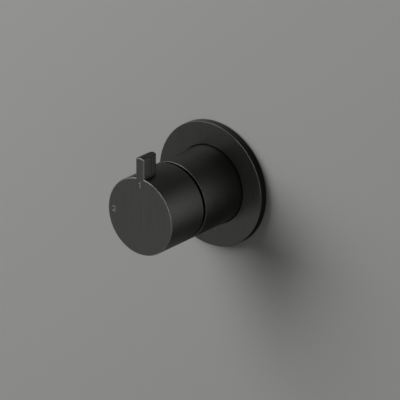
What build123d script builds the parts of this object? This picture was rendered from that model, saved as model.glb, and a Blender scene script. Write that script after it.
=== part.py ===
from build123d import *
import os
from math import cos, degrees, radians, sin

# Concealed two-way shower diverter valve, in millimetres.
# The origin is on the valve's axis at the face of the finished wall. -Y points into the room,
# +Y into the wall and +Z up. The valve stands at outlet 1, with its tab straight up.
# Pieces are turned about the Y axis from outlines of (radius, y) points.

# Trim seen in the room
trim_d = 45.0  # knob and sleeve
plate_d = 72.0
plate_t = 4.2
plate_lift = 0.8  # the soft ring holds the plate this far off the wall
sleeve_reach = 36.0  # from the wall to the sleeve's front rim
sleeve_tail = 7.0  # from the wall back into it
sleeve_wall = 2.2
knob_gap = 2.3
knob_len = 27.0
knob_edge_round = 0.75
sleeve_edge_round = 0.4
plate_edge_round = 0.35

# Knob
knob_wall = 2.5
knob_face_t = 5.0
hub_d = 23.0
hub_len = 17.0
tab_w = 6.0
tab_depth = 12.0
tab_rise = 12.0  # above the knob's round side
tab_crown_r = 6.0
tab_round = 0.5
grub_d = 5.0
grub_len = 7.0
grub_af = 2.5
grub_setback = 13.3  # from the knob's face
grub_boss_d = 10.0
insert_d = 17.0
insert_len = 14.0
insert_flat = 0.9

# Wall plate
gasket_in_d = 52.0
gasket_out_d = 66.0
gasket_depth = 1.2  # into the plate's back
plate_seal_depth = 2.4

# Glide ring in the sleeve's mouth
mouth_wall = 1.5
mouth_depth = 5.0
glide_setback = 1.0  # of its shoulder behind the sleeve's rim
glide_wall = 2.0
glide_reach = 8.0  # of its nose in front of the sleeve's rim

# In-wall body
barrel_d = 43.0
barrel_shoulder = 8.0  # from the wall
port_depth = 45.0  # from the wall to the ports' plane
body_back_t = 14.0  # behind the ports' plane
port_reach = 40.0  # from the axis to a port's mouth
port_af = 27.0
port_hex_len = 12.0
port_neck_d = 24.0
port_bore_d = 18.6  # G 1/2 tapping size
port_bore_len = 14.0
port_mouth_chamfer = 1.0
way_d = 9.0
inlet_d = 6.4
outlet_d = 6.0
outlet_ring_r = 8.2  # outlets' distance from the axis
outlet_angles = (90, 180)  # outlet 1 above, outlet 2 at the left
ear_pcd = 66.0
ear_angle = 45
ear_d = 12.0
ear_t = 5.0
ear_hole_d = 5.5
body_round = 2.0
chamber_depth = 24.0  # from the wall to the chamber's floor
neck_thread_land = 1.25  # the sleeve's thread inside its bore
neck_thread_len = 8.0
neck_step = 4.0  # thread's end, in front of the wall
sleeve_seal_depth = 1.25
sleeve_seal_y = 2.5

# Cartridge
cartridge_d = 28.0
disc_d = 24.0
base_gasket_t = 1.5
base_t = 4.0
base_flange_t = 2.5
pip_d = 2.8
pip_len = 3.5
pip_ring_r = 11.4
pip_angles = (20, 250)
fixed_disc_t = 3.5
moving_disc_t = 4.0
keyway_w = 3.2
keyway_depth = 1.7
keyway_len = 2.2
fixed_key_angles = (0, 235)
moving_key_angles = (0, 180)
bean_w = 4.6
bean_span = 34
channel_depth = 2.2
port_seal_w = 1.6
port_seal_t = 1.2
carrier_t = 2.4
flange_t = 2.0
flange_d = 18.0
tongue_w = 5.0
tongue_len = 14.0
tongue_t = 2.0
washer_t = 0.5
head_t = 10.0  # housing in front of the discs
nose_d = 17.0
nose_len = 13.0
collar_len = 3.0
collar_wall = 1.5
housing_seal_depth = 1.3
housing_seal_setback = 5.5  # behind the housing's shoulder
nut_thread_len = 10.0
nut_shoulder = 1.4
nut_collar_len = 4.5
nut_af = 30.0

# Spindle, stop and extension
spindle_d = 9.9
spindle_spline_d = 9.2
spindle_tip_len = 12.0  # in front of the stop collar
spindle_seal_depth = 1.25
spindle_seal_setbacks = (4.5, 14.0)  # from the flange
stop_t = 2.6
stop_ring_wall = 2.0
stop_lug_angle = 40
turn_angle = 90
stop_slack = 1.5  # degrees at each end
clip_t = 0.8
clip_width = 2.2
clip_opening = 70
clip_groove_depth = 0.65
spline_teeth = 20
spline_depth = 0.6
spline_tip_half = 0.18  # half a tooth's width at its tip, in pitches
spline_root_half = 0.32
drive_spline_d = 12.0
extension_d = 14.0
extension_front = 0.6  # short of the knob's floor
screw_d = 4.0
screw_grip = 10.0  # thread in the spindle
screw_head_d = 7.0
screw_head_h = 4.0
screw_af = 3.0
socket_depth = 2.2

# Clearances
fit_play = 0.05  # radial, in threads and press seats
run_play = 0.05  # between faces and shafts that run on each other
glide_play = 0.3  # radial, round parts that turn freely
slide_play = 0.6  # radial, plate on sleeve
neck_play = 0.2
chamber_play = 0.1
axial_play = 0.3
seal_play = 0.04
groove_ratio = 1.35  # a seal groove's width over its depth
seal_flats = 8  # sides of a rubber ring's section
end_chamfer = 0.5

# Radii and stations worked out from the sizes above
trim_r = trim_d / 2
sleeve_bore_r = trim_r - sleeve_wall
knob_bore_r = trim_r - knob_wall
knob_back_y = -(sleeve_reach + knob_gap)
knob_face_y = knob_back_y - knob_len
knob_floor_y = knob_face_y + knob_face_t
hub_end_y = knob_floor_y + hub_len
insert_end_y = knob_floor_y + insert_len
grub_y = knob_face_y + grub_setback
grub_foot = insert_d / 2 - insert_flat

port_y = port_depth
body_back_y = port_y + body_back_t
seat_r = sleeve_bore_r - neck_play
neck_r = sleeve_bore_r - neck_thread_land
land_r = neck_r + fit_play
chamber_r = cartridge_d / 2 + chamber_play
nut_r = chamber_r + nut_shoulder

base_back_y = chamber_depth - base_gasket_t
base_rim_y = base_back_y - base_flange_t
fixed_back_y = base_back_y - base_t
fixed_front_y = fixed_back_y - fixed_disc_t
moving_back_y = fixed_front_y - run_play
moving_front_y = moving_back_y - moving_disc_t
flange_back_y = moving_front_y - carrier_t
flange_front_y = flange_back_y - flange_t
washer_back_y = flange_front_y - run_play
room_floor_y = washer_back_y - washer_t
shoulder_y = room_floor_y - head_t
nose_y = shoulder_y - nose_len
collar_y = nose_y - collar_len
neck_front_y = shoulder_y - nut_thread_len
room_r = disc_d / 2 + glide_play
spindle_r = spindle_d / 2
spindle_bore_r = spindle_r + run_play
housing_seal_y = shoulder_y + housing_seal_setback

stop_back_y = nose_y - run_play
stop_front_y = stop_back_y - stop_t
clip_back_y = stop_front_y - run_play
clip_front_y = clip_back_y - clip_t
spindle_tip_y = collar_y - spindle_tip_len
spline_start_y = nose_y + axial_play
extension_back_y = clip_front_y - 2 * axial_play
extension_step_y = insert_end_y + axial_play
extension_front_y = knob_floor_y + extension_front
screw_seat_y = extension_front_y + screw_head_h + axial_play
screw_end_y = spindle_tip_y + screw_grip


def turn(*outline, mode=Mode.ADD):
    """Turn a closed outline of (radius, y) points about the valve's axis."""
    with BuildSketch(Plane.XY) as profile:
        with BuildLine():
            Polyline(*outline, close=True)
        make_face()
    revolve(profile.sketch, axis=Axis.Y, mode=mode)


def ring(inner_r, outer_r, back_y, front_y, mode=Mode.ADD):
    """A plain turned ring between two stations."""
    turn((inner_r, back_y), (outer_r, back_y), (outer_r, front_y), (inner_r, front_y), mode=mode)


def seal_groove(bottom_r, mouth_r, y):
    """Cut a groove for a rubber ring, from its bottom radius past its mouth."""
    half = abs(mouth_r - bottom_r) * groove_ratio / 2
    ring(min(bottom_r, mouth_r), max(bottom_r, mouth_r), y + half, y - half, mode=Mode.SUBTRACT)


def rubber_ring(inner_r, outer_r, y):
    """A rubber ring that fills the room between two walls, its round section drawn in flats."""
    with BuildSketch(Plane.XY) as section:
        with Locations(((inner_r + outer_r) / 2, y)):
            RegularPolygon((outer_r - inner_r) / 2 - seal_play, seal_flats, major_radius=False,
                           rotation=180 / seal_flats)
    revolve(section.sketch, axis=Axis.Y)


def polar(radius, angle):
    """The point at a radius and an angle from +X, in degrees."""
    return (radius * cos(radians(angle)), radius * sin(radians(angle)))


def splines(tip_d, back_y, front_y, play=0.0, mode=Mode.ADD):
    """Extrude a splined section: teeth with straight flanks on a round root."""
    tip_r = tip_d / 2 + play
    root_r = tip_r - spline_depth
    pitch = 360 / spline_teeth
    outline = []
    for tooth in range(spline_teeth):
        for radius, half in ((root_r, -spline_root_half), (tip_r, -spline_tip_half),
                             (tip_r, spline_tip_half), (root_r, spline_root_half)):
            outline.append(polar(radius, pitch * (tooth + half)))
    with BuildSketch(Plane.XZ.offset(-back_y)) as section:
        with BuildLine():
            Polyline(*outline, close=True)
        make_face()
    extrude(section.sketch, amount=back_y - front_y, mode=mode)


def sector(inner_r, outer_r, middle, span):
    """Sketch a sector of a ring, its middle at an angle from +X towards +Z."""
    first = middle - span / 2
    last = middle + span / 2
    with BuildLine() as outline:
        CenterArc((0, 0), outer_r, first, span)
        CenterArc((0, 0), inner_r, first, span)
        Line(polar(inner_r, first), polar(outer_r, first))
        Line(polar(inner_r, last), polar(outer_r, last))
    make_face(outline.edges())


# Knob with its tab: one piece, hollow behind, with a splined bush's hub and a screw boss below
with BuildPart() as handle:
    tab_foot_z = trim_r - knob_wall / 2
    tab_round_y = knob_face_y + tab_depth - tab_w / 2
    with BuildSketch(Plane.XY.offset(tab_foot_z)):
        with BuildLine():
            Polyline((tab_w / 2, tab_round_y), (tab_w / 2, knob_face_y),
                     (-tab_w / 2, knob_face_y), (-tab_w / 2, tab_round_y))
            ThreePointArc((-tab_w / 2, tab_round_y), (0, knob_face_y + tab_depth),
                          (tab_w / 2, tab_round_y))
        make_face()
    extrude(amount=tab_rise + knob_wall / 2)
    with BuildSketch(Plane.XZ.offset(-knob_face_y)):
        with Locations((0, trim_r + tab_rise - tab_crown_r)):
            Circle(tab_crown_r)
        with Locations((0, tab_foot_z)):
            Rectangle(tab_w, tab_rise - tab_crown_r + knob_wall / 2, align=(Align.CENTER, Align.MIN))
    extrude(amount=-tab_depth, mode=Mode.INTERSECT)
    crown_edges = handle.faces().sort_by(Axis.Z)[-1].edges().sort_by(Axis.Y)
    fillet(crown_edges[1:], tab_round)
    turn((0, knob_face_y), (trim_r, knob_face_y), (trim_r, knob_back_y), (knob_bore_r, knob_back_y),
         (knob_bore_r, knob_floor_y), (0, knob_floor_y))
    ring(0, hub_d / 2, hub_end_y, knob_floor_y)
    with BuildSketch(Plane.XY.offset(-(trim_r - knob_wall / 2))):
        with Locations((0, grub_y)):
            Circle(grub_boss_d / 2)
    extrude(amount=trim_r - knob_wall / 2 - insert_d / 2)
    ring(0, insert_d / 2 + fit_play, hub_end_y, knob_floor_y, mode=Mode.SUBTRACT)
    with BuildSketch(Plane.XY.offset(-trim_r)):
        with Locations((0, grub_y)):
            Circle(grub_d / 2 + fit_play)
    extrude(amount=trim_r - insert_d / 2 + insert_flat, mode=Mode.SUBTRACT)
    fillet(handle.faces().sort_by(Axis.Y)[0].outer_wire().edges(), knob_edge_round)
handle.part.label = "handle"

with BuildPart() as spline_insert:
    ring(0, insert_d / 2, insert_end_y, knob_floor_y)
    splines(drive_spline_d, insert_end_y, knob_floor_y, play=fit_play, mode=Mode.SUBTRACT)
    with BuildSketch(Plane.XY.offset(-grub_foot)):
        with Locations((0, grub_y)):
            Rectangle(insert_d, grub_boss_d)
    extrude(amount=-insert_flat, mode=Mode.SUBTRACT)
spline_insert.part.label = "spline_insert"

with BuildPart() as handle_grub_screw:
    with BuildSketch(Plane.XY.offset(-grub_foot)):
        with Locations((0, grub_y)):
            Circle(grub_d / 2)
    extrude(amount=-grub_len)
    chamfer(handle_grub_screw.edges().filter_by(GeomType.CIRCLE), end_chamfer)
    with BuildSketch(Plane.XY.offset(-grub_foot - grub_len)):
        with Locations((0, grub_y)):
            RegularPolygon(grub_af / 2, 6, major_radius=False)
    extrude(amount=socket_depth, mode=Mode.SUBTRACT)
handle_grub_screw.part.label = "handle_grub_screw"

# Extension between the cartridge's spindle and the knob
with BuildPart() as spindle_extension:
    ring(0, extension_d / 2, extension_back_y, extension_step_y)
    chamfer(spindle_extension.edges().filter_by(GeomType.CIRCLE), end_chamfer)
    splines(drive_spline_d, extension_step_y, extension_front_y)
    splines(spindle_spline_d, extension_back_y, spindle_tip_y, play=fit_play, mode=Mode.SUBTRACT)
    ring(0, screw_d / 2 + fit_play, spindle_tip_y, screw_seat_y, mode=Mode.SUBTRACT)
    ring(0, screw_head_d / 2 + axial_play, screw_seat_y, extension_front_y, mode=Mode.SUBTRACT)
spindle_extension.part.label = "spindle_extension"

with BuildPart() as extension_screw:
    screw_top_y = screw_seat_y - screw_head_h
    turn((0, screw_end_y), (screw_d / 2 - end_chamfer, screw_end_y), (screw_d / 2, screw_end_y - end_chamfer),
         (screw_d / 2, screw_seat_y), (screw_head_d / 2, screw_seat_y),
         (screw_head_d / 2, screw_top_y + end_chamfer), (screw_head_d / 2 - end_chamfer, screw_top_y),
         (0, screw_top_y))
    with BuildSketch(Plane.XZ.offset(-screw_top_y)):
        RegularPolygon(screw_af / 2, 6, major_radius=False)
    extrude(amount=-socket_depth, mode=Mode.SUBTRACT)
extension_screw.part.label = "extension_screw"

# Spindle: flange and driving tongue behind, two seal grooves, splined tip with a clip groove
with BuildPart() as spindle:
    turn((0, flange_back_y), (flange_d / 2, flange_back_y), (flange_d / 2, flange_front_y),
         (spindle_r, flange_front_y), (spindle_r, spline_start_y), (0, spline_start_y))
    with BuildSketch(Plane.XZ.offset(-flange_back_y)):
        Rectangle(tongue_w, tongue_len)
    extrude(amount=-tongue_t)
    splines(spindle_spline_d, spline_start_y, spindle_tip_y)
    for setback in spindle_seal_setbacks:
        seal_groove(spindle_r - spindle_seal_depth, spindle_r, flange_front_y - setback)
    ring(spindle_spline_d / 2 - clip_groove_depth, spindle_r, clip_back_y, clip_front_y, mode=Mode.SUBTRACT)
    ring(0, screw_d / 2 + fit_play, screw_end_y + 2 * axial_play, spindle_tip_y, mode=Mode.SUBTRACT)
spindle.part.label = "spindle"

spindle_groove_r = spindle_r - spindle_seal_depth
with BuildPart() as spindle_o_ring_rear:
    rubber_ring(spindle_groove_r, spindle_r, flange_front_y - spindle_seal_setbacks[0])
spindle_o_ring_rear.part.label = "spindle_o_ring_rear"

with BuildPart() as spindle_o_ring_front:
    rubber_ring(spindle_groove_r, spindle_r, flange_front_y - spindle_seal_setbacks[1])
spindle_o_ring_front.part.label = "spindle_o_ring_front"

# Stop ring on the splines; its lug runs in the opening of the housing's collar
collar_in_r = nose_d / 2 - collar_wall
lug_r = nose_d / 2 - fit_play
with BuildPart() as stop_ring:
    ring(0, collar_in_r - glide_play, stop_back_y, stop_front_y)
    with BuildSketch(Plane.XZ.offset(-stop_back_y)):
        sector(collar_in_r - stop_ring_wall, lug_r, 90, stop_lug_angle)
    extrude(amount=stop_t)
    splines(spindle_spline_d, stop_back_y, stop_front_y, play=fit_play, mode=Mode.SUBTRACT)
stop_ring.part.label = "stop_ring"

with BuildPart() as spindle_clip:
    clip_in_r = spindle_spline_d / 2 - clip_groove_depth + fit_play
    with BuildSketch(Plane.XZ.offset(-clip_back_y)):
        sector(clip_in_r, clip_in_r + clip_width, 90, 360 - clip_opening)
    extrude(amount=clip_t)
spindle_clip.part.label = "spindle_clip"


def keys(angles, radius, width, back_y, length, mode=Mode.ADD):
    """Keys that reach in from a disc's rim, or the keyways for them."""
    with BuildSketch(Plane.XZ.offset(-back_y)) as section:
        for angle in angles:
            with PolarLocations(radius, 1, angle):
                Rectangle(2 * (disc_d / 2 - radius), width)
    extrude(section.sketch, amount=length, mode=mode)


def ports(grow, back_y, length, mode=Mode.ADD):
    """The inlet in the middle and the two outlets round it, as openings grown by an amount."""
    with BuildSketch(Plane.XZ.offset(-back_y)) as section:
        Circle(inlet_d / 2 + grow)
        for angle in outlet_angles:
            sector(outlet_ring_r - bean_w / 2 - grow, outlet_ring_r + bean_w / 2 + grow, angle,
                   bean_span + 2 * degrees(grow / outlet_ring_r))
    extrude(section.sketch, amount=length, mode=mode)


key_r = disc_d / 2 - keyway_depth / 2

# Plastic driver between the spindle's tongue and the moving disc
with BuildPart() as disc_carrier:
    ring(0, disc_d / 2, moving_front_y, flange_back_y)
    keys(moving_key_angles, key_r + fit_play, keyway_w - 2 * fit_play, moving_front_y + keyway_len,
         keyway_len)
    with BuildSketch(Plane.XZ.offset(-moving_front_y)):
        Rectangle(tongue_w + 2 * fit_play, tongue_len + 2 * fit_play)
    extrude(amount=carrier_t, mode=Mode.SUBTRACT)
disc_carrier.part.label = "disc_carrier"

# Ceramic discs; the moving one has a channel from the inlet to one outlet
with BuildPart() as moving_disc:
    ring(0, disc_d / 2, moving_back_y, moving_front_y)
    keys(moving_key_angles, key_r, keyway_w, moving_front_y + keyway_len + axial_play,
         keyway_len + axial_play, mode=Mode.SUBTRACT)
    with BuildSketch(Plane.XZ.offset(-moving_back_y)):
        Circle(inlet_d / 2)
        with Locations((0, outlet_ring_r / 2)):
            Rectangle(bean_w, outlet_ring_r)
        sector(outlet_ring_r - bean_w / 2, outlet_ring_r + bean_w / 2, 90, bean_span)
    extrude(amount=channel_depth, mode=Mode.SUBTRACT)
moving_disc.part.label = "moving_disc"

with BuildPart() as fixed_disc:
    ring(0, disc_d / 2, fixed_back_y, fixed_front_y)
    ports(0, fixed_back_y, fixed_disc_t, mode=Mode.SUBTRACT)
    keys(fixed_key_angles, key_r, keyway_w, fixed_back_y, keyway_len + axial_play, mode=Mode.SUBTRACT)
fixed_disc.part.label = "fixed_disc"

with BuildPart() as disc_gasket:
    ports(port_seal_w, fixed_back_y + port_seal_t, port_seal_t)
    ports(0, fixed_back_y + port_seal_t, port_seal_t, mode=Mode.SUBTRACT)
disc_gasket.part.label = "disc_gasket"

# Plastic base: carries the fixed disc and its seal, and finds its place by two pips
with BuildPart() as cartridge_base:
    ring(0, cartridge_d / 2, base_back_y, base_rim_y)
    ring(0, disc_d / 2, base_rim_y, fixed_back_y)
    keys(fixed_key_angles, key_r + fit_play, keyway_w - 2 * fit_play, fixed_back_y, keyway_len)
    ports(port_seal_w + fit_play, fixed_back_y + port_seal_t, port_seal_t, mode=Mode.SUBTRACT)
    ports(0, base_back_y, base_t, mode=Mode.SUBTRACT)
    with BuildSketch(Plane.XZ.offset(-base_back_y - pip_len)):
        for angle in pip_angles:
            with PolarLocations(pip_ring_r, 1, angle):
                Circle(pip_d / 2)
    extrude(amount=pip_len)
cartridge_base.part.label = "cartridge_base"

with BuildPart() as base_gasket:
    ring(0, cartridge_d / 2 - chamber_play, chamber_depth, base_back_y)
    ports(0, chamber_depth, base_gasket_t, mode=Mode.SUBTRACT)
    with BuildSketch(Plane.XZ.offset(-chamber_depth)):
        for angle in pip_angles:
            with PolarLocations(pip_ring_r, 1, angle):
                Circle(pip_d / 2 + fit_play)
    extrude(amount=base_gasket_t, mode=Mode.SUBTRACT)
base_gasket.part.label = "base_gasket"

# Housing: room for the discs behind, long nose in front with the open stop collar
with BuildPart() as cartridge_housing:
    turn((room_r, base_rim_y), (cartridge_d / 2, base_rim_y), (cartridge_d / 2, shoulder_y),
         (nose_d / 2, shoulder_y), (nose_d / 2, nose_y), (spindle_bore_r, nose_y),
         (spindle_bore_r, room_floor_y), (room_r, room_floor_y))
    collar_span = 360 - turn_angle - stop_lug_angle - 2 * stop_slack
    collar_middle = 90 + turn_angle / 2 + 180
    with BuildSketch(Plane.XZ.offset(-nose_y)):
        sector(collar_in_r, nose_d / 2, collar_middle, collar_span)
    extrude(amount=collar_len)
    seal_groove(chamber_r - housing_seal_depth, chamber_r, housing_seal_y)
cartridge_housing.part.label = "cartridge_housing"

with BuildPart() as cartridge_o_ring:
    rubber_ring(chamber_r - housing_seal_depth, chamber_r, housing_seal_y)
cartridge_o_ring.part.label = "cartridge_o_ring"

with BuildPart() as glide_washer:
    ring(spindle_bore_r + fit_play, flange_d / 2, washer_back_y, room_floor_y)
glide_washer.part.label = "glide_washer"

# Nut that holds the cartridge in the body
with BuildPart() as cartridge_nut:
    nut_bore_r = nose_d / 2 + axial_play
    collar_back_y = neck_front_y - axial_play
    ring(nut_bore_r, nut_r, shoulder_y, collar_back_y)
    with BuildSketch(Plane.XZ.offset(-collar_back_y)):
        RegularPolygon(nut_af / 2, 6, major_radius=False)
        Circle(nut_bore_r, mode=Mode.SUBTRACT)
    extrude(amount=nut_collar_len)
    chamfer(cartridge_nut.faces().sort_by(Axis.Y)[0].outer_wire().edges(), end_chamfer)
cartridge_nut.part.label = "cartridge_nut"

# Port boss of the in-wall body, its mouth up: a round neck and a hexagon with turned corners
with BuildPart() as port_boss:
    port_corner_r = port_af / 3**0.5
    hexagon_z = port_reach - port_hex_len
    with BuildSketch(Plane.XY.offset(hexagon_z)):
        RegularPolygon(port_af / 2, 6, major_radius=False)
    extrude(amount=port_hex_len)
    with BuildSketch(Plane.XZ):
        with BuildLine():
            Polyline((0, hexagon_z), (port_af / 2, hexagon_z), (port_corner_r, hexagon_z + body_round),
                     (port_corner_r, port_reach - body_round), (port_af / 2, port_reach),
                     (0, port_reach), close=True)
        make_face()
    revolve(axis=Axis.Z, mode=Mode.INTERSECT)
    with BuildSketch(Plane.XY):
        Circle(port_neck_d / 2)
    extrude(amount=hexagon_z)

port_planes = [Plane(origin=(0, port_y, 0), x_dir=(1, 0, 0), z_dir=(0, 0, -1)),
               Plane(origin=(0, port_y, 0), x_dir=(1, 0, 0), z_dir=(0, 0, 1)),
               Plane(origin=(0, port_y, 0), x_dir=(0, 0, 1), z_dir=(-1, 0, 0))]
port_way_starts = [0, outlet_ring_r, outlet_ring_r]

# In-wall body: inlet below, outlet 1 above, outlet 2 at the left
with BuildPart() as valve_body:
    turn((0, body_back_y), (barrel_d / 2, body_back_y), (barrel_d / 2, barrel_shoulder),
         (seat_r, barrel_shoulder), (seat_r, -neck_step), (neck_r, -neck_step),
         (neck_r, neck_front_y), (0, neck_front_y))
    fillet(valve_body.edges().filter_by(GeomType.CIRCLE).sort_by(Axis.Y)[-1], body_round)
    with Locations(*port_planes):
        add(port_boss.part)
    fillet(valve_body.edges(Select.LAST).filter_by(GeomType.BSPLINE), body_round)
    with BuildSketch(Plane.XZ.offset(-body_back_y)):
        for angle in (ear_angle, -ear_angle):
            SlotCenterToCenter(ear_pcd, ear_d, rotation=angle)
    extrude(amount=ear_t)
    turn((0, chamber_depth), (chamber_r, chamber_depth), (chamber_r, shoulder_y + axial_play),
         (nut_r + fit_play, shoulder_y + axial_play), (nut_r + fit_play, neck_front_y), (0, neck_front_y),
         mode=Mode.SUBTRACT)
    seal_groove(seat_r - sleeve_seal_depth, seat_r, sleeve_seal_y)
    with BuildSketch(Plane.XZ.offset(-port_y)):
        Circle(inlet_d / 2)
        for angle in outlet_angles:
            with PolarLocations(outlet_ring_r, 1, angle):
                Circle(outlet_d / 2)
    extrude(amount=port_y - chamber_depth, mode=Mode.SUBTRACT)
    with BuildSketch(Plane.XZ.offset(-base_back_y - pip_len - axial_play)):
        for angle in pip_angles:
            with PolarLocations(pip_ring_r, 1, angle):
                Circle(pip_d / 2 + chamber_play)
    extrude(amount=base_back_y + pip_len + axial_play - chamber_depth, mode=Mode.SUBTRACT)
    for plane, start in zip(port_planes, port_way_starts):
        with BuildSketch(plane.offset(start)):
            Circle(way_d / 2)
        extrude(amount=port_reach - start, mode=Mode.SUBTRACT)
        with BuildSketch(plane.offset(port_reach)):
            Circle(port_bore_d / 2)
        extrude(amount=-port_bore_len, mode=Mode.SUBTRACT)
        with BuildSketch(plane.offset(port_reach)):
            Circle(port_bore_d / 2 + port_mouth_chamfer)
        extrude(amount=-port_mouth_chamfer, taper=45, mode=Mode.SUBTRACT)
    with BuildSketch(Plane.XZ.offset(-body_back_y)):
        for angle in (ear_angle, -ear_angle):
            with PolarLocations(ear_pcd / 2, 2, angle):
                Circle(ear_hole_d / 2)
    extrude(amount=ear_t, mode=Mode.SUBTRACT)
valve_body.part.label = "valve_body"

# Sleeve: screwed on the body's neck, with a step in its mouth for the glide ring
mouth_r = trim_r - mouth_wall
mouth_floor_y = -sleeve_reach + mouth_depth
with BuildPart() as sleeve:
    turn((sleeve_bore_r, sleeve_tail), (trim_r, sleeve_tail), (trim_r, -sleeve_reach),
         (mouth_r, -sleeve_reach), (mouth_r, mouth_floor_y), (sleeve_bore_r, mouth_floor_y),
         (sleeve_bore_r, -neck_step - neck_thread_len), (land_r, -neck_step - neck_thread_len),
         (land_r, -neck_step), (sleeve_bore_r, -neck_step))
    fillet(sleeve.edges().filter_by(GeomType.CIRCLE).group_by(Axis.Y)[0].sort_by(SortBy.RADIUS)[-1],
           sleeve_edge_round)
sleeve.part.label = "sleeve"

with BuildPart() as sleeve_o_ring:
    rubber_ring(seat_r - sleeve_seal_depth, sleeve_bore_r, sleeve_seal_y)
sleeve_o_ring.part.label = "sleeve_o_ring"

with BuildPart() as glide_ring:
    glide_r = knob_bore_r - glide_play
    turn((glide_r - glide_wall, mouth_floor_y), (mouth_r - fit_play, mouth_floor_y),
         (mouth_r - fit_play, -sleeve_reach + glide_setback), (glide_r, -sleeve_reach + glide_setback),
         (glide_r, -sleeve_reach - glide_reach), (glide_r - glide_wall, -sleeve_reach - glide_reach))
glide_ring.part.label = "glide_ring"

# Wall plate: slides on the sleeve, gripped by a rubber ring in its bore, and rests on a soft ring
plate_bore_r = trim_r + slide_play
plate_groove_r = trim_r + plate_seal_depth
plate_front_y = -plate_lift - plate_t
plate_seal_y = -plate_lift - plate_t / 2
gasket_floor_y = -plate_lift - gasket_depth
with BuildPart() as wall_plate:
    ring(plate_bore_r, plate_d / 2, -plate_lift, plate_front_y)
    ring(gasket_in_d / 2, gasket_out_d / 2, -plate_lift, gasket_floor_y, mode=Mode.SUBTRACT)
    seal_groove(plate_groove_r, plate_bore_r, plate_seal_y)
    fillet(wall_plate.edges().filter_by(GeomType.CIRCLE).group_by(Axis.Y)[0].sort_by(SortBy.RADIUS)[-1],
           plate_edge_round)
wall_plate.part.label = "wall_plate"

with BuildPart() as plate_o_ring:
    rubber_ring(trim_r, plate_groove_r, plate_seal_y)
plate_o_ring.part.label = "plate_o_ring"

with BuildPart() as plate_gasket:
    ring(gasket_in_d / 2 + fit_play, gasket_out_d / 2 - fit_play, 0, gasket_floor_y)
plate_gasket.part.label = "plate_gasket"

os.makedirs("parts", exist_ok=True)
export_step(handle.part, "parts/handle.step")
export_step(spline_insert.part, "parts/spline_insert.step")
export_step(handle_grub_screw.part, "parts/handle_grub_screw.step")
export_step(spindle_extension.part, "parts/spindle_extension.step")
export_step(extension_screw.part, "parts/extension_screw.step")
export_step(spindle.part, "parts/spindle.step")
export_step(spindle_o_ring_rear.part, "parts/spindle_o_ring_rear.step")
export_step(spindle_o_ring_front.part, "parts/spindle_o_ring_front.step")
export_step(stop_ring.part, "parts/stop_ring.step")
export_step(spindle_clip.part, "parts/spindle_clip.step")
export_step(disc_carrier.part, "parts/disc_carrier.step")
export_step(moving_disc.part, "parts/moving_disc.step")
export_step(fixed_disc.part, "parts/fixed_disc.step")
export_step(disc_gasket.part, "parts/disc_gasket.step")
export_step(cartridge_base.part, "parts/cartridge_base.step")
export_step(base_gasket.part, "parts/base_gasket.step")
export_step(cartridge_housing.part, "parts/cartridge_housing.step")
export_step(cartridge_o_ring.part, "parts/cartridge_o_ring.step")
export_step(glide_washer.part, "parts/glide_washer.step")
export_step(cartridge_nut.part, "parts/cartridge_nut.step")
export_step(valve_body.part, "parts/valve_body.step")
export_step(sleeve.part, "parts/sleeve.step")
export_step(sleeve_o_ring.part, "parts/sleeve_o_ring.step")
export_step(glide_ring.part, "parts/glide_ring.step")
export_step(wall_plate.part, "parts/wall_plate.step")
export_step(plate_o_ring.part, "parts/plate_o_ring.step")
export_step(plate_gasket.part, "parts/plate_gasket.step")
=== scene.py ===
import bpy
import numpy as np
from mathutils import Matrix, Vector


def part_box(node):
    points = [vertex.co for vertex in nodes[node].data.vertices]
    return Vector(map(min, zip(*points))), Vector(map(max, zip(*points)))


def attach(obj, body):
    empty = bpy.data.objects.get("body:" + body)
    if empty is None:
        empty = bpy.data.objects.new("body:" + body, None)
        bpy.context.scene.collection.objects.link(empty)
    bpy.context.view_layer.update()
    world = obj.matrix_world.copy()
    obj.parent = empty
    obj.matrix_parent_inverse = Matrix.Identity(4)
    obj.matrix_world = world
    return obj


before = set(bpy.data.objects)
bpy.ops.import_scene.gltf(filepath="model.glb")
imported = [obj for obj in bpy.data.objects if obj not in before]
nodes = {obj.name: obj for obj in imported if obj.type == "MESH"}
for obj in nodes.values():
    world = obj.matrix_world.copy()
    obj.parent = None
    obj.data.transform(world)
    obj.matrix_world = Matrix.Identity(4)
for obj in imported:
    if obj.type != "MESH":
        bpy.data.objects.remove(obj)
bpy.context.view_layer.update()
scene = bpy.context.scene
scene.view_settings.view_transform = "Standard"

# In-wall body: one hot forging in brass, shot blasted, then turned at its neck, faced at the ports
# and drilled. The blasted skin is a dull yellow with a fine grain, and the cut faces are brighter.
MM = 0.001
port_y, port_mouth, port_bore_r = 45 * MM, 40 * MM, 9.3 * MM


def linear(code):
    """A colour given as sRGB hex digits, in linear light."""
    srgb = np.array([int(code[i:i + 2], 16) for i in (0, 2, 4)]) / 255
    light = np.where(srgb <= 0.04045, srgb / 12.92, ((srgb + 0.055) / 1.055) ** 2.4)
    return (*light.tolist(), 1.0)


def node(tree, kind, inputs=None, **settings):
    """Add one node. Settings are its options; inputs are values, or sockets to link from."""
    made = tree.nodes.new(kind)
    for name, value in settings.items():
        setattr(made, name, value)
    for key, value in (inputs or {}).items():
        if isinstance(value, bpy.types.NodeSocket):
            tree.links.new(value, made.inputs[key])
        else:
            made.inputs[key].default_value = value
    return made


def empty_material(name):
    """A new material with an output and a principled shader, and its object coordinates."""
    material = bpy.data.materials.new(name)
    material.use_nodes = True
    tree = material.node_tree
    tree.nodes.clear()
    output = node(tree, "ShaderNodeOutputMaterial")
    shader = node(tree, "ShaderNodeBsdfPrincipled")
    tree.links.new(shader.outputs[0], output.inputs[0])
    place = node(tree, "ShaderNodeTexCoord")
    return material, tree, shader, place


def dress(names, material):
    """Give CAD nodes their material."""
    for name in names:
        nodes[name].material_slots[0].material = material


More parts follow.
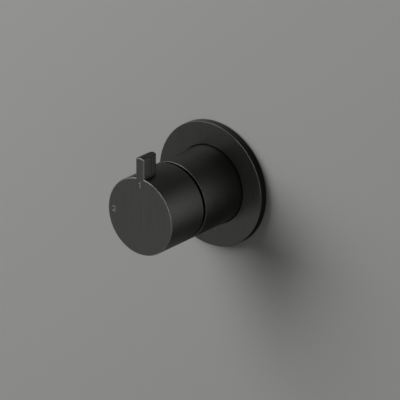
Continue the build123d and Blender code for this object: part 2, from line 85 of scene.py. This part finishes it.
def forged_brass():
    """Blasted forging skin, with cut brass on the port faces, in the bores with their mouths'
    chamfers, and in front of the shoulder. A faint cloudiness shifts the tone."""
    skin, cut = linear("A8854A"), linear("D8B86E")
    cut_r, face_at = port_bore_r + 1.1 * MM, port_mouth - 0.4 * MM
    bore_floor, shoulder_y = 25.9 * MM, 8.1 * MM
    grain_w, cloud_w, grain_relief = 0.45 * MM, 9 * MM, 0.12 * MM
    material, tree, shader, place = empty_material("forged_brass")
    at = node(tree, "ShaderNodeSeparateXYZ", {0: place.outputs["Object"]})
    x, y, z = at.outputs
    port_depth = node(tree, "ShaderNodeMath", {0: y, 1: port_y}, operation="SUBTRACT").outputs[0]
    height = node(tree, "ShaderNodeMath", {0: z}, operation="ABSOLUTE").outputs[0]
    left = node(tree, "ShaderNodeMath", {0: x, 1: -1.0}, operation="MULTIPLY").outputs[0]
    reach = node(tree, "ShaderNodeMath", {0: height, 1: left}, operation="MAXIMUM").outputs[0]
    masks = [node(tree, "ShaderNodeMath", {0: reach, 1: face_at}, operation="GREATER_THAN"),
             node(tree, "ShaderNodeMath", {0: y, 1: shoulder_y}, operation="LESS_THAN")]
    for along, across in ((height, x), (left, z)):
        flat = node(tree, "ShaderNodeCombineXYZ", {0: across, 1: port_depth})
        radius = node(tree, "ShaderNodeVectorMath", {0: flat.outputs[0]}, operation="LENGTH").outputs["Value"]
        near = node(tree, "ShaderNodeMath", {0: radius, 1: cut_r}, operation="LESS_THAN").outputs[0]
        deep = node(tree, "ShaderNodeMath", {0: along, 1: bore_floor}, operation="GREATER_THAN").outputs[0]
        masks.append(node(tree, "ShaderNodeMath", {0: near, 1: deep}, operation="MULTIPLY"))
    is_cut = masks[0].outputs[0]
    for mask in masks[1:]:
        is_cut = node(tree, "ShaderNodeMath", {0: is_cut, 1: mask.outputs[0]}, operation="MAXIMUM").outputs[0]
    grain = node(tree, "ShaderNodeTexNoise", {"Vector": place.outputs["Object"], "Scale": 1 / grain_w,
                                              "Detail": 4.0, "Roughness": 0.6})
    cloud = node(tree, "ShaderNodeTexNoise",
                 {"Vector": place.outputs["Object"], "Scale": 1 / cloud_w, "Detail": 3.0})
    tone = node(tree, "ShaderNodeMix", {"Factor": is_cut, 6: skin, 7: cut}, data_type="RGBA")
    shade = node(tree, "ShaderNodeMapRange", {"Value": cloud.outputs[0], "To Min": 0.82, "To Max": 1.12})
    colour = node(tree, "ShaderNodeVectorMath", {0: tone.outputs[2], 1: shade.outputs[0]},
                  operation="MULTIPLY")
    tree.links.new(colour.outputs[0], shader.inputs["Base Color"])
    rough = node(tree, "ShaderNodeMapRange", {"Value": is_cut, "To Min": 0.48, "To Max": 0.26})
    tree.links.new(rough.outputs[0], shader.inputs["Roughness"])
    depth = node(tree, "ShaderNodeMapRange", {"Value": is_cut, "To Min": 0.5, "To Max": 0.04})
    bump = node(tree, "ShaderNodeBump",
                {"Strength": depth.outputs[0], "Distance": grain_relief, "Height": grain.outputs[0]})
    tree.links.new(bump.outputs[0], shader.inputs["Normal"])
    shader.inputs["Metallic"].default_value = 1.0
    return material


dress(["valve_body"], forged_brass())

# Port threads: G 1/2 pipe threads, cut in the three bores of the forging by a thread mill, so they
# are as bright as turned brass. They stand 0.4 mm in from the bore's wall so that they show.
thread_setback, thread_length = 1.6 * MM, 11.2 * MM
thread_pitch, thread_crest = 1.814 * MM, 0.4 * MM


def turned_brass():
    """Cut brass with tool rings along the axis, which shift the roughness and the relief a little.
    They are drawn a few times wider than a lathe's feed, so that they show."""
    tone, ring_step, ring_relief = linear("D9BE80"), 0.35 * MM, 0.02 * MM
    material, tree, shader, place = empty_material("turned_brass")
    at = node(tree, "ShaderNodeSeparateXYZ", {0: place.outputs["Object"]})
    flat = node(tree, "ShaderNodeCombineXYZ", {0: at.outputs[0], 1: at.outputs[2]})
    radius = node(tree, "ShaderNodeVectorMath", {0: flat.outputs[0]}, operation="LENGTH").outputs["Value"]
    cut = node(tree, "ShaderNodeMath", {0: radius, 1: at.outputs[1]}, operation="ADD").outputs[0]
    rings = node(tree, "ShaderNodeTexNoise", {"W": cut, "Scale": 1 / ring_step, "Detail": 2.0},
                 noise_dimensions="1D")
    rough = node(tree, "ShaderNodeMapRange", {"Value": rings.outputs[0], "To Min": 0.2, "To Max": 0.36})
    tree.links.new(rough.outputs[0], shader.inputs["Roughness"])
    bump = node(tree, "ShaderNodeBump",
                {"Strength": 0.12, "Distance": ring_relief, "Height": rings.outputs[0]})
    tree.links.new(bump.outputs[0], shader.inputs["Normal"])
    shader.inputs["Base Color"].default_value = tone
    shader.inputs["Metallic"].default_value = 1.0
    return material


def thread(name, mouth, inward, side):
    """A helical ridge in a bore. Along the helix the angle grows evenly with the depth. Across it
    are a flank, a flat crest and a flank, each a strip of its own so that the edges between them
    stay sharp. The crest fades out at both ends as a sine. Side is square to the bore."""
    turns, steps_a_turn, run_out, sunk = thread_length / thread_pitch, 48, 0.5, 0.02 * MM
    ridge_w, foot, flat = 0.6 * thread_pitch, 0.5, 0.15
    along = np.linspace(0, turns, int(turns * steps_a_turn))[:, None]
    across = np.array([[-foot, -flat, -flat, flat, flat, foot]])
    crest = np.array([[0.0, 1.0, 1.0, 1.0, 1.0, 0.0]])
    fade = np.sin(np.clip(np.minimum(along, turns - along) / run_out, 0, 1) * np.pi / 2)
    radius = port_bore_r + sunk - thread_crest * crest * fade
    depth = thread_pitch * along + ridge_w * across
    inward, side = np.array(inward, float), np.array(side, float)
    other = np.cross(inward, side)
    angle = 2 * np.pi * along
    points = (np.array(mouth, float) + depth[..., None] * inward
              + (radius * np.cos(angle))[..., None] * side + (radius * np.sin(angle))[..., None] * other)
    rows, columns = depth.shape
    first = (np.arange(rows - 1)[:, None] * columns + np.arange(0, columns, 2)).ravel()
    faces = np.stack([first, first + 1, first + columns + 1, first + columns], 1)
    mesh = bpy.data.meshes.new(name)
    mesh.from_pydata(points.reshape(-1, 3).tolist(), [], faces.tolist())
    mesh.shade_smooth()
    made = bpy.data.objects.new(name, mesh)
    scene.collection.objects.link(made)
    return made


cut_brass = turned_brass()
for name, way, side in (("inlet_thread", (0, 0, -1), (1, 0, 0)),
                        ("outlet_1_thread", (0, 0, 1), (1, 0, 0)),
                        ("outlet_2_thread", (-1, 0, 0), (0, 0, 1))):
    start = np.array(way) * (port_mouth - thread_setback) + (0, port_y, 0)
    ridge = thread(name, start, [-part for part in way], side)
    ridge.data.materials.append(cut_brass)
    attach(ridge, "valve")

# Cartridge housing, nut, spindle, extension and stop ring: free-cutting brass, turned from bar on a
# lathe. The tool leaves fine rings round the valve's axis and a bright satin yellow.
dress(["cartridge_housing", "cartridge_nut", "spindle", "spindle_extension", "stop_ring"], cut_brass)

# Ceramic discs: alumina, pressed, fired and lapped flat on each other. They are off-white, with the
# tight, even sheen of a surface that is flat to a few tenths of a micrometre.


def grained(name, code, roughness, grain, relief, metallic=0.0, spread=0.04):
    """A plain finish whose fine grain, given in metres, varies its roughness and stands in relief.
    It is drawn coarser than the real grain of most such surfaces, so that it shows."""
    material, tree, shader, place = empty_material(name)
    noise = node(tree, "ShaderNodeTexNoise",
                 {"Vector": place.outputs["Object"], "Scale": 1 / grain, "Detail": 3.0})
    rough = node(tree, "ShaderNodeMapRange",
                 {"Value": noise.outputs[0], "To Min": roughness - spread, "To Max": roughness + spread})
    tree.links.new(rough.outputs[0], shader.inputs["Roughness"])
    bump = node(tree, "ShaderNodeBump", {"Strength": 0.3, "Distance": relief, "Height": noise.outputs[0]})
    tree.links.new(bump.outputs[0], shader.inputs["Normal"])
    shader.inputs["Base Color"].default_value = linear(code)
    shader.inputs["Metallic"].default_value = metallic
    return material


dress(["fixed_disc", "moving_disc"], grained("lapped_alumina", "EDEAE2", 0.22, 0.3 * MM, 0.003 * MM))

# Plastic pieces: acetal, injection moulded. The carrier, the spline insert and the ring that fills
# the gap behind the knob are black, the cartridge's base and washer in the natural milky white. All
# have the soft sheen and faint grain of an etched mould.
black_acetal = grained("moulded_black_acetal", "141414", 0.42, 0.4 * MM, 0.01 * MM)
dress(["disc_carrier", "spline_insert", "glide_ring"], black_acetal)
white_acetal = grained("moulded_white_acetal", "E6E4DC", 0.4, 0.4 * MM, 0.01 * MM)
dress(["cartridge_base", "glide_washer"], white_acetal)

# Rings and gaskets: black nitrile rubber, moulded and trimmed, held in grooves by their own squeeze.
# Dull, with a fine grain that scatters the light.
rubber_pieces = ["spindle_o_ring_front", "spindle_o_ring_rear", "sleeve_o_ring", "plate_o_ring",
                 "plate_gasket", "cartridge_o_ring", "disc_gasket", "base_gasket"]
dress(rubber_pieces, grained("moulded_nitrile_rubber", "1B1B1C", 0.6, 0.5 * MM, 0.02 * MM))

# Screws and spring clip: stainless steel, cold headed or stamped, then tumbled, which rounds the
# edges and leaves a grey, evenly matt shine.
dress(["extension_screw", "handle_grub_screw", "spindle_clip"],
      grained("tumbled_stainless_steel", "A9A9A6", 0.3, 0.25 * MM, 0.006 * MM, metallic=1.0))

# Wall plate, sleeve and knob: stainless steel, turned, then brushed and coated a dark gunmetal by
# vapour. The brush ran up and down the flat faces and round the axis on the round sides, and each
# piece shows its fine streaks through the coating.


def brushed_gunmetal(piece, code, rim_highlight_gain, side_highlight_gain=1.0):
    """Dark coated steel, its streaks vertical on the flat faces and round the axis on the sides. On the tab's
    sides they are wider and stronger, and the tab's top has wide, bold light and dark bands along the depth.
    Painted highlights: the small rounds between faces are lighter by the rim highlight gain, and the sides by
    the side highlight gain."""
    tone, knob_r, tab_z, knob_back_y = linear(code), 22.5 * MM, 23.5 * MM, -38.3 * MM
    # The streaks are several times wider than a brush leaves them, so that they show
    streak_w, streak_len, streak_relief = 0.6 * MM, 14 * MM, 0.01 * MM
    tab_coarse, face_slice, top_slice = 0.45, 0.05, 0.11
    # Limits on the parts of the normal, which tell faces, tops and the rounds between them apart
    face_from, top_from, side_end, face_start, top_end = 0.7, 0.5, 0.12, 0.97, 0.25
    # Each shade runs between two noise values, and between two factors on the tone
    plain_shade, tab_shade = (0.3, 0.7, 0.91, 1.09), (0.35, 0.65, 0.6, 1.4)
    top_shade = (0.42, 0.58, 0.35, 1.65)
    material, tree, shader, place = empty_material("brushed_gunmetal_steel_" + piece)
    at = node(tree, "ShaderNodeSeparateXYZ", {0: place.outputs["Object"]})
    x, y, z = at.outputs
    facing = node(tree, "ShaderNodeSeparateXYZ", {0: place.outputs["Normal"]})
    front = node(tree, "ShaderNodeMath", {0: facing.outputs[1]}, operation="ABSOLUTE").outputs[0]
    is_face = node(tree, "ShaderNodeMath", {0: front, 1: face_from}, operation="GREATER_THAN").outputs[0]
    past_side = node(tree, "ShaderNodeMath", {0: front, 1: side_end}, operation="GREATER_THAN").outputs[0]
    before_face = node(tree, "ShaderNodeMath", {0: front, 1: face_start}, operation="LESS_THAN").outputs[0]
    rim_highlight_mask = node(tree, "ShaderNodeMath", {0: past_side, 1: before_face}, operation="MULTIPLY").outputs[0]
    high = node(tree, "ShaderNodeMath", {0: z, 1: tab_z}, operation="GREATER_THAN").outputs[0]
    on_knob = node(tree, "ShaderNodeMath", {0: y, 1: knob_back_y}, operation="LESS_THAN").outputs[0]
    above = node(tree, "ShaderNodeMath", {0: high, 1: on_knob}, operation="MULTIPLY").outputs[0]
    upward = node(tree, "ShaderNodeMath", {0: facing.outputs[2], 1: top_from},
                  operation="GREATER_THAN").outputs[0]
    is_top = node(tree, "ShaderNodeMath", {0: above, 1: upward}, operation="MULTIPLY").outputs[0]
    # The long rounds along the tab's top take the painted rim highlight too
    sideways = node(tree, "ShaderNodeMath", {0: facing.outputs[0]}, operation="ABSOLUTE").outputs[0]
    past_top = node(tree, "ShaderNodeMath", {0: sideways, 1: top_end}, operation="GREATER_THAN").outputs[0]
    before_side = node(tree, "ShaderNodeMath", {0: sideways, 1: face_start},
                       operation="LESS_THAN").outputs[0]
    top_rim_highlight_mask = node(tree, "ShaderNodeMath", {0: past_top, 1: before_side}, operation="MULTIPLY").outputs[0]
    top_rim_highlight_mask = node(tree, "ShaderNodeMath", {0: top_rim_highlight_mask, 1: is_top}, operation="MULTIPLY").outputs[0]
    rim_highlight_mask = node(tree, "ShaderNodeMath", {0: rim_highlight_mask, 1: top_rim_highlight_mask}, operation="MAXIMUM").outputs[0]
    turn = node(tree, "ShaderNodeMath", {0: x, 1: z}, operation="ARCTAN2").outputs[0]
    girth = node(tree, "ShaderNodeMath", {0: turn, 1: knob_r}, operation="MULTIPLY").outputs[0]
    off_face = node(tree, "ShaderNodeMath", {0: 1.0, 1: is_face}, operation="SUBTRACT").outputs[0]
    on_tab = node(tree, "ShaderNodeMath", {0: above, 1: off_face}, operation="MULTIPLY").outputs[0]
    coarse = node(tree, "ShaderNodeMapRange", {"Value": on_tab, "To Min": 1.0, "To Max": tab_coarse})
    deep = node(tree, "ShaderNodeMath", {0: y, 1: coarse.outputs[0]}, operation="MULTIPLY").outputs[0]
    wide = node(tree, "ShaderNodeMath", {0: x, 1: coarse.outputs[0]}, operation="MULTIPLY").outputs[0]
    on_side = node(tree, "ShaderNodeCombineXYZ", {0: girth, 1: deep})
    on_face = node(tree, "ShaderNodeCombineXYZ", {0: z, 1: x, 2: face_slice})
    on_top = node(tree, "ShaderNodeCombineXYZ", {0: y, 1: wide, 2: top_slice})
    round_or_flat = node(tree, "ShaderNodeMix", {"Factor": is_face, 4: on_side.outputs[0],
                                                 5: on_face.outputs[0]}, data_type="VECTOR")
    along = node(tree, "ShaderNodeMix", {"Factor": is_top, 4: round_or_flat.outputs[1],
                                         5: on_top.outputs[0]}, data_type="VECTOR")
    scale = node(tree, "ShaderNodeMapping",
                 {"Vector": along.outputs[1], "Scale": (1 / streak_len, 1 / streak_w, 1 / streak_w)},
                 vector_type="POINT")
    streaks = node(tree, "ShaderNodeTexNoise", {"Vector": scale.outputs[0], "Scale": 1.0, "Detail": 4.0})
    shades = []
    for low, high, dark, light in (plain_shade, tab_shade, top_shade):
        shades.append(node(tree, "ShaderNodeMapRange", {"Value": streaks.outputs[0], "From Min": low,
                                                        "From Max": high, "To Min": dark, "To Max": light}))
    plain, strong, bold = [shade.outputs[0] for shade in shades]
    shade = node(tree, "ShaderNodeMix", {"Factor": on_tab, 2: plain, 3: strong}).outputs[0]
    shade = node(tree, "ShaderNodeMix", {"Factor": is_top, 2: shade, 3: bold}).outputs[0]
    # Painted highlight: the small rounds get a lighter tone, so that their rims shine brighter than the lamps
    # alone make them
    edges = node(tree, "ShaderNodeMapRange", {"Value": rim_highlight_mask, "To Min": 1.0, "To Max": rim_highlight_gain})
    shade = node(tree, "ShaderNodeMath", {0: shade, 1: edges.outputs[0]}, operation="MULTIPLY").outputs[0]
    # Painted highlight: the sides off the flat faces get a lighter tone by the side highlight gain, which
    # lifts their reflection
    sides = node(tree, "ShaderNodeMapRange", {"Value": is_face, "To Min": side_highlight_gain, "To Max": 1.0})
    shade = node(tree, "ShaderNodeMath", {0: shade, 1: sides.outputs[0]}, operation="MULTIPLY").outputs[0]
    colour = node(tree, "ShaderNodeVectorMath", {0: tone[:3], 1: shade}, operation="MULTIPLY")
    tree.links.new(colour.outputs[0], shader.inputs["Base Color"])
    rough = node(tree, "ShaderNodeMapRange", {"Value": streaks.outputs[0], "From Min": 0.3,
                                              "From Max": 0.7, "To Min": 0.34, "To Max": 0.4})
    tree.links.new(rough.outputs[0], shader.inputs["Roughness"])
    bump = node(tree, "ShaderNodeBump",
                {"Strength": 0.06, "Distance": streak_relief, "Height": streaks.outputs[0]})
    tree.links.new(bump.outputs[0], shader.inputs["Normal"])
    is_flat = node(tree, "ShaderNodeMath", {0: is_face, 1: is_top}, operation="MAXIMUM").outputs[0]
    across = node(tree, "ShaderNodeMix", {"Factor": is_flat, 4: (0, 1, 0), 5: (1, 0, 0)},
                  data_type="VECTOR")
    spread = node(tree, "ShaderNodeVectorTransform", {0: across.outputs[1]},
                  vector_type="VECTOR", convert_from="OBJECT", convert_to="WORLD")
    tree.links.new(spread.outputs[0], shader.inputs["Tangent"])
    shader.inputs["Anisotropic"].default_value = 0.4
    shader.inputs["Metallic"].default_value = 1.0
    return material


# The knob's rims get a painted highlight; the plate's sides a painted lift of their reflection
dress(["handle"], brushed_gunmetal("knob", "4C4C4A", rim_highlight_gain=1.6))
dress(["sleeve"], brushed_gunmetal("sleeve", "4C4C4A", rim_highlight_gain=1.0))
dress(["wall_plate"], brushed_gunmetal("plate", "444442", rim_highlight_gain=1.0, side_highlight_gain=1.35))

# Digits 1 and 2 on the knob's face: burnt through the coating by a laser, so the light grey steel
# shows in strokes about half a millimetre wide.
mark_gap, layer_gap = 0.02 * MM, 0.005 * MM
digit_h, bowl_r, stroke_w = 3.4 * MM, 0.95 * MM, 0.55 * MM
flag_w, flag_drop, foot_in = 0.9 * MM, 0.7 * MM, 0.1 * MM
one_x, one_z = 0.0, 18.4 * MM
two_x, two_z = -18.4 * MM, 0.25 * MM
bowl_start, bowl_end, bowl_points = 170, -40, 15


def stroke(points, width, y):
    """A flat stroke: a strip of even width whose middle follows the points, given as x and z."""
    middle = np.array(points, float)
    step = np.gradient(middle, axis=0)
    step /= np.linalg.norm(step, axis=1, keepdims=True)
    side = np.stack([-step[:, 1], step[:, 0]], 1) * width / 2
    left, right = middle + side, middle - side
    count = len(middle)
    flat = np.concatenate([left, right])
    corners = np.stack([flat[:, 0], np.full(2 * count, y), flat[:, 1]], 1)
    k = np.arange(count - 1)
    faces = np.stack([k, k + 1, k + 1 + count, k + count], 1)
    return corners, faces


def digit(name, strokes, width, y):
    """One digit as a mesh of strokes, each a few thousandths of a millimetre in front of the last."""
    corners, faces, used = [], [], 0
    for layer, points in enumerate(strokes):
        stroke_corners, stroke_faces = stroke(points, width, y - layer * layer_gap)
        corners.append(stroke_corners)
        faces.append(stroke_faces + used)
        used += len(stroke_corners)
    mesh = bpy.data.meshes.new(name)
    mesh.from_pydata(np.concatenate(corners).tolist(), [], np.concatenate(faces).tolist())
    made = bpy.data.objects.new(name, mesh)
    scene.collection.objects.link(made)
    return made


face_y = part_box("handle")[0].y - mark_gap
low, high = -digit_h / 2, digit_h / 2
one_strokes = [[(one_x, one_z + low), (one_x, one_z + high)],
               [(one_x - flag_w, one_z + high - flag_drop), (one_x, one_z + high)]]
bend = np.radians(np.linspace(bowl_start, bowl_end, bowl_points))
bowl_z, base_z = two_z + high - stroke_w / 2 - bowl_r, two_z + low + stroke_w / 2
bowl = np.stack([two_x + bowl_r * np.cos(bend), bowl_z + bowl_r * np.sin(bend)], 1)
two_strokes = [np.vstack([bowl, (two_x - bowl_r + foot_in, base_z)]),
               [(two_x - bowl_r - stroke_w / 2, base_z), (two_x + bowl_r + stroke_w / 2, base_z)]]
laser_grey = grained("laser_marked_steel", "7C7B78", 0.6, 0.3 * MM, 0.005 * MM)
for name, strokes in (("digit_1", one_strokes), ("digit_2", two_strokes)):
    mark = digit(name, strokes, stroke_w, face_y)
    mark.data.materials.append(laser_grey)
    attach(mark, "turning")

# Studio: a pale plain backdrop in the plane of the finished wall, and a pale floor below it. The
# backdrop hides what is behind it only from the room, so that the in-wall body shows from behind.
wall_half_w, wall_half_h, wall_gap = 0.5, 0.4, 0.02 * MM
floor_half, floor_z, floor_glow = 8.0, -0.6, 0.18


def sheet(name, corners, material):
    """One flat four-cornered face."""
    mesh = bpy.data.meshes.new(name)
    mesh.from_pydata(corners, [], [(0, 1, 2, 3)])
    made = bpy.data.objects.new(name, mesh)
    scene.collection.objects.link(made)
    made.data.materials.append(material)
    return made


def upright(half_w, half_h, y):
    """The corners of an upright rectangle at a depth, its face towards the room."""
    return [(-half_w, y, -half_h), (half_w, y, -half_h), (half_w, y, half_h), (-half_w, y, half_h)]


def glowing(material, level):
    """Add an even glow of its own to a stage material, so that it stays pale far from the lamps."""
    material.node_tree.nodes[1].inputs["Emission Color"].default_value = linear("F0F0EE")
    material.node_tree.nodes[1].inputs["Emission Strength"].default_value = level
    return material


def one_sided(material):
    """Let a stage material be seen from its front only."""
    tree = material.node_tree
    output, shader = tree.nodes[0], tree.nodes[1]
    side = node(tree, "ShaderNodeNewGeometry")
    clear = node(tree, "ShaderNodeBsdfTransparent")
    mixed = node(tree, "ShaderNodeMixShader",
                 {0: side.outputs["Backfacing"], 1: shader.outputs[0], 2: clear.outputs[0]})
    tree.links.new(mixed.outputs[0], output.inputs[0])
    return material


wall_paint = one_sided(grained("pale_wall_paint", "AFB0AD", 0.8, 0.8 * MM, 0.01 * MM))
backdrop = sheet("backdrop", upright(wall_half_w, wall_half_h, wall_gap), wall_paint)
backdrop.visible_glossy = False
floor_paint = glowing(grained("pale_floor", "A0A09E", 0.8, 0.8 * MM, 0.01 * MM), floor_glow)
floor = sheet("floor", [(-floor_half, -floor_half, floor_z), (floor_half, -floor_half, floor_z),
                        (floor_half, floor_half, floor_z), (-floor_half, floor_half, floor_z)],
              one_sided(floor_paint))
floor.visible_diffuse = False

# Reflector card: a glowing card just in front of the wall, which only reflections see. It gives the
# round sides their bright and dark bands, as the soft boxes beside a product do.
card_gap = 0.5 * MM


def card_glow():
    """The card's light grows with the distance from the axis, and is strongest in a lobe to the
    right and one to the left. A weaker lobe above fades with the distance instead. Each lobe has
    its middle, counted clockwise from straight up, and half width, in radians, and its peak."""
    near_r, far_r, near_level, ground = 50 * MM, 68 * MM, 0.03, 0.13
    right_lobe, left_lobe, top_lobe = (1.34, 1.0, 0.78), (-1.9, 0.9, 0.5), (-0.3, 1.4, 0.23)
    top_reach = 1.15
    material = bpy.data.materials.new("reflector_card")
    material.use_nodes = True
    tree = material.node_tree
    tree.nodes.clear()
    output = node(tree, "ShaderNodeOutputMaterial")
    glow = node(tree, "ShaderNodeEmission")
    place = node(tree, "ShaderNodeTexCoord")
    at = node(tree, "ShaderNodeSeparateXYZ", {0: place.outputs["Object"]})
    flat = node(tree, "ShaderNodeCombineXYZ", {0: at.outputs[0], 1: at.outputs[2]})
    radius = node(tree, "ShaderNodeVectorMath", {0: flat.outputs[0]}, operation="LENGTH").outputs["Value"]
    rise = node(tree, "ShaderNodeMapRange", {"Value": radius, "From Min": near_r, "From Max": far_r,
                                             "To Min": near_level, "To Max": 1.0}).outputs[0]
    turn = node(tree, "ShaderNodeMath", {0: at.outputs[0], 1: at.outputs[2]}, operation="ARCTAN2").outputs[0]
    levels = []
    for middle, half, peak in (right_lobe, left_lobe, top_lobe):
        off = node(tree, "ShaderNodeMath", {0: turn, 1: middle}, operation="SUBTRACT").outputs[0]
        away = node(tree, "ShaderNodeMath", {0: off}, operation="ABSOLUTE").outputs[0]
        lobe = node(tree, "ShaderNodeMapRange", {"Value": away, "From Min": half, "From Max": 0.0,
                                                 "To Min": 0.0, "To Max": peak},
                    interpolation_type="SMOOTHSTEP")
        levels.append(lobe.outputs[0])
    sides = node(tree, "ShaderNodeMath", {0: levels[0], 1: levels[1]}, operation="ADD").outputs[0]
    sides = node(tree, "ShaderNodeMath", {0: sides, 1: ground}, operation="ADD").outputs[0]
    sides = node(tree, "ShaderNodeMath", {0: sides, 1: rise}, operation="MULTIPLY").outputs[0]
    fall = node(tree, "ShaderNodeMath", {0: top_reach, 1: rise}, operation="SUBTRACT").outputs[0]
    top = node(tree, "ShaderNodeMath", {0: levels[2], 1: fall}, operation="MULTIPLY").outputs[0]
    total = node(tree, "ShaderNodeMath", {0: sides, 1: top}, operation="ADD").outputs[0]
    tree.links.new(total, glow.inputs["Strength"])
    tree.links.new(glow.outputs[0], output.inputs[0])
    return one_sided(material)


card = sheet("reflector_card", upright(wall_half_w, wall_half_h, -card_gap), card_glow())
card.visible_camera = card.visible_diffuse = card.visible_shadow = False

# Soft light: a large key lamp up at the left, a dim fill at the right, and a narrow lamp in front
# that only gloss shows, for the rims. Two lamps behind the wall light the in-wall body. The last
# value is whether a lamp lights matt surfaces too.
lamps = [("key", (-1.0, -1.0, 0.95), 2.2, 1.5, 2.1, 46.0, True),
         ("fill", (0.73, -0.68, 0.09), 2.0, 1.0, 1.0, 1.0, True),
         ("rim", (0.1, -0.95, -0.05), 2.0, 0.6, 1.9, 20.0, False),
         ("back", (-0.6, 1.0, 0.8), 2.2, 1.8, 1.8, 70.0, True),
         ("back_fill", (1.0, 0.9, 0.1), 2.2, 1.8, 1.8, 25.0, True)]
for name, way, distance, width, height, power, lights_matt in lamps:
    light = bpy.data.lights.new(name, "AREA")
    light.shape = "RECTANGLE"
    light.size = width
    light.size_y = height
    light.energy = power
    lamp = bpy.data.objects.new(name, light)
    lamp.location = Vector(way).normalized() * distance
    lamp.rotation_euler = Vector(way).to_track_quat("Z", "Y").to_euler()
    lamp.visible_camera = False
    lamp.visible_diffuse = lights_matt
    scene.collection.objects.link(lamp)
# The room gives the part a dim, even light, and is pale where the camera sees it
world = bpy.data.worlds.new("studio")
world.use_nodes = True
tree = world.node_tree
tree.nodes.clear()
rays = node(tree, "ShaderNodeLightPath")
dim = node(tree, "ShaderNodeBackground", {"Color": linear("F0F2F2"), "Strength": 0.085})
pale = node(tree, "ShaderNodeBackground", {"Color": linear("D4D4D2"), "Strength": 0.8})
sky = node(tree, "ShaderNodeMixShader",
           {0: rays.outputs["Is Camera Ray"], 1: dim.outputs[0], 2: pale.outputs[0]})
node(tree, "ShaderNodeOutputWorld", {0: sky.outputs[0]})
scene.world = world

# Camera: at the photograph's angle, 39.3 degrees round to the right and 22.6 up, through a long
# lens. It aims a little beside the origin, so that the part stands in the frame as photographed.
around, above, camera_far = np.radians(39.301), np.radians(22.615), 5.792
aim_right, aim_up = -8.72 * MM, -10.29 * MM
back = Vector((np.sin(around) * np.cos(above), -np.cos(around) * np.cos(above), np.sin(above)))
right = Vector((np.cos(around), np.sin(around), 0))
up = back.cross(right)
camera_data = bpy.data.cameras.new("camera")
camera_data.lens = 950.4
camera_data.sensor_width = 36
camera_data.clip_end = 30
camera = bpy.data.objects.new("camera", camera_data)
camera_place = Matrix.Translation(back * camera_far + right * aim_right + up * aim_up)
camera.matrix_world = camera_place @ Matrix((right, up, back)).transposed().to_4x4()
scene.collection.objects.link(camera)
scene.camera = camera
